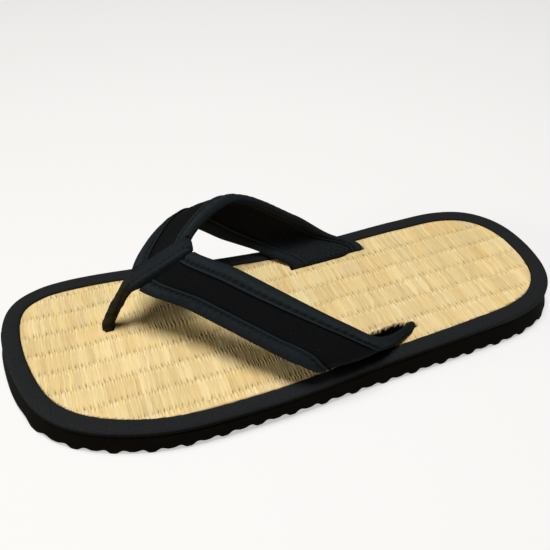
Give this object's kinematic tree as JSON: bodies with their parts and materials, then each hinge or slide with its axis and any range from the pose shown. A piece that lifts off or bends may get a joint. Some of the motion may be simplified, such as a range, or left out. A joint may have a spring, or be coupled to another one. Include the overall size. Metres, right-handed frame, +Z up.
{
  "type": "bamboo slipper",
  "caption": "Flat thong slipper for the left foot: woven rush footbed in a cloth-bound rim, rippled foam outsole, and a felt strap edged in cotton tape with a rolled toe post.",
  "frame": {"origin": "on the floor under the middle of the sole's length and width", "axes": "+Z up from the tread, +X from the toe towards the heel, +Y towards the medial (big toe) side"},
  "size_m": [0.283, 0.1138, 0.0621],
  "materials": {
    "eva_foam": "matt dark olive-black EVA foam with moulded crosswise ripples",
    "rim_cloth": "dark slate cotton cloth wrapped over the rim",
    "woven_rush": "straw-coloured woven rush with a low sheen",
    "black_felt": "near-black felt with fine pale lint",
    "cotton_tape": "slate-navy cotton tape, folded and stitched",
    "post_cloth": "dark slate cotton strip, folded flat above and rolled tight below"
  },
  "bodies": {
    "root": {"outsole": "eva_foam", "edge_binding": "rim_cloth", "woven_mat_insole": "woven_rush", "upper_strap": "black_felt", "tape_lateral_front": "cotton_tape", "tape_lateral_rear": "cotton_tape", "tape_medial_front": "cotton_tape", "tape_medial_rear": "cotton_tape", "seam_band_and_toe_post": "post_cloth"}
  },
  "joints": []
}
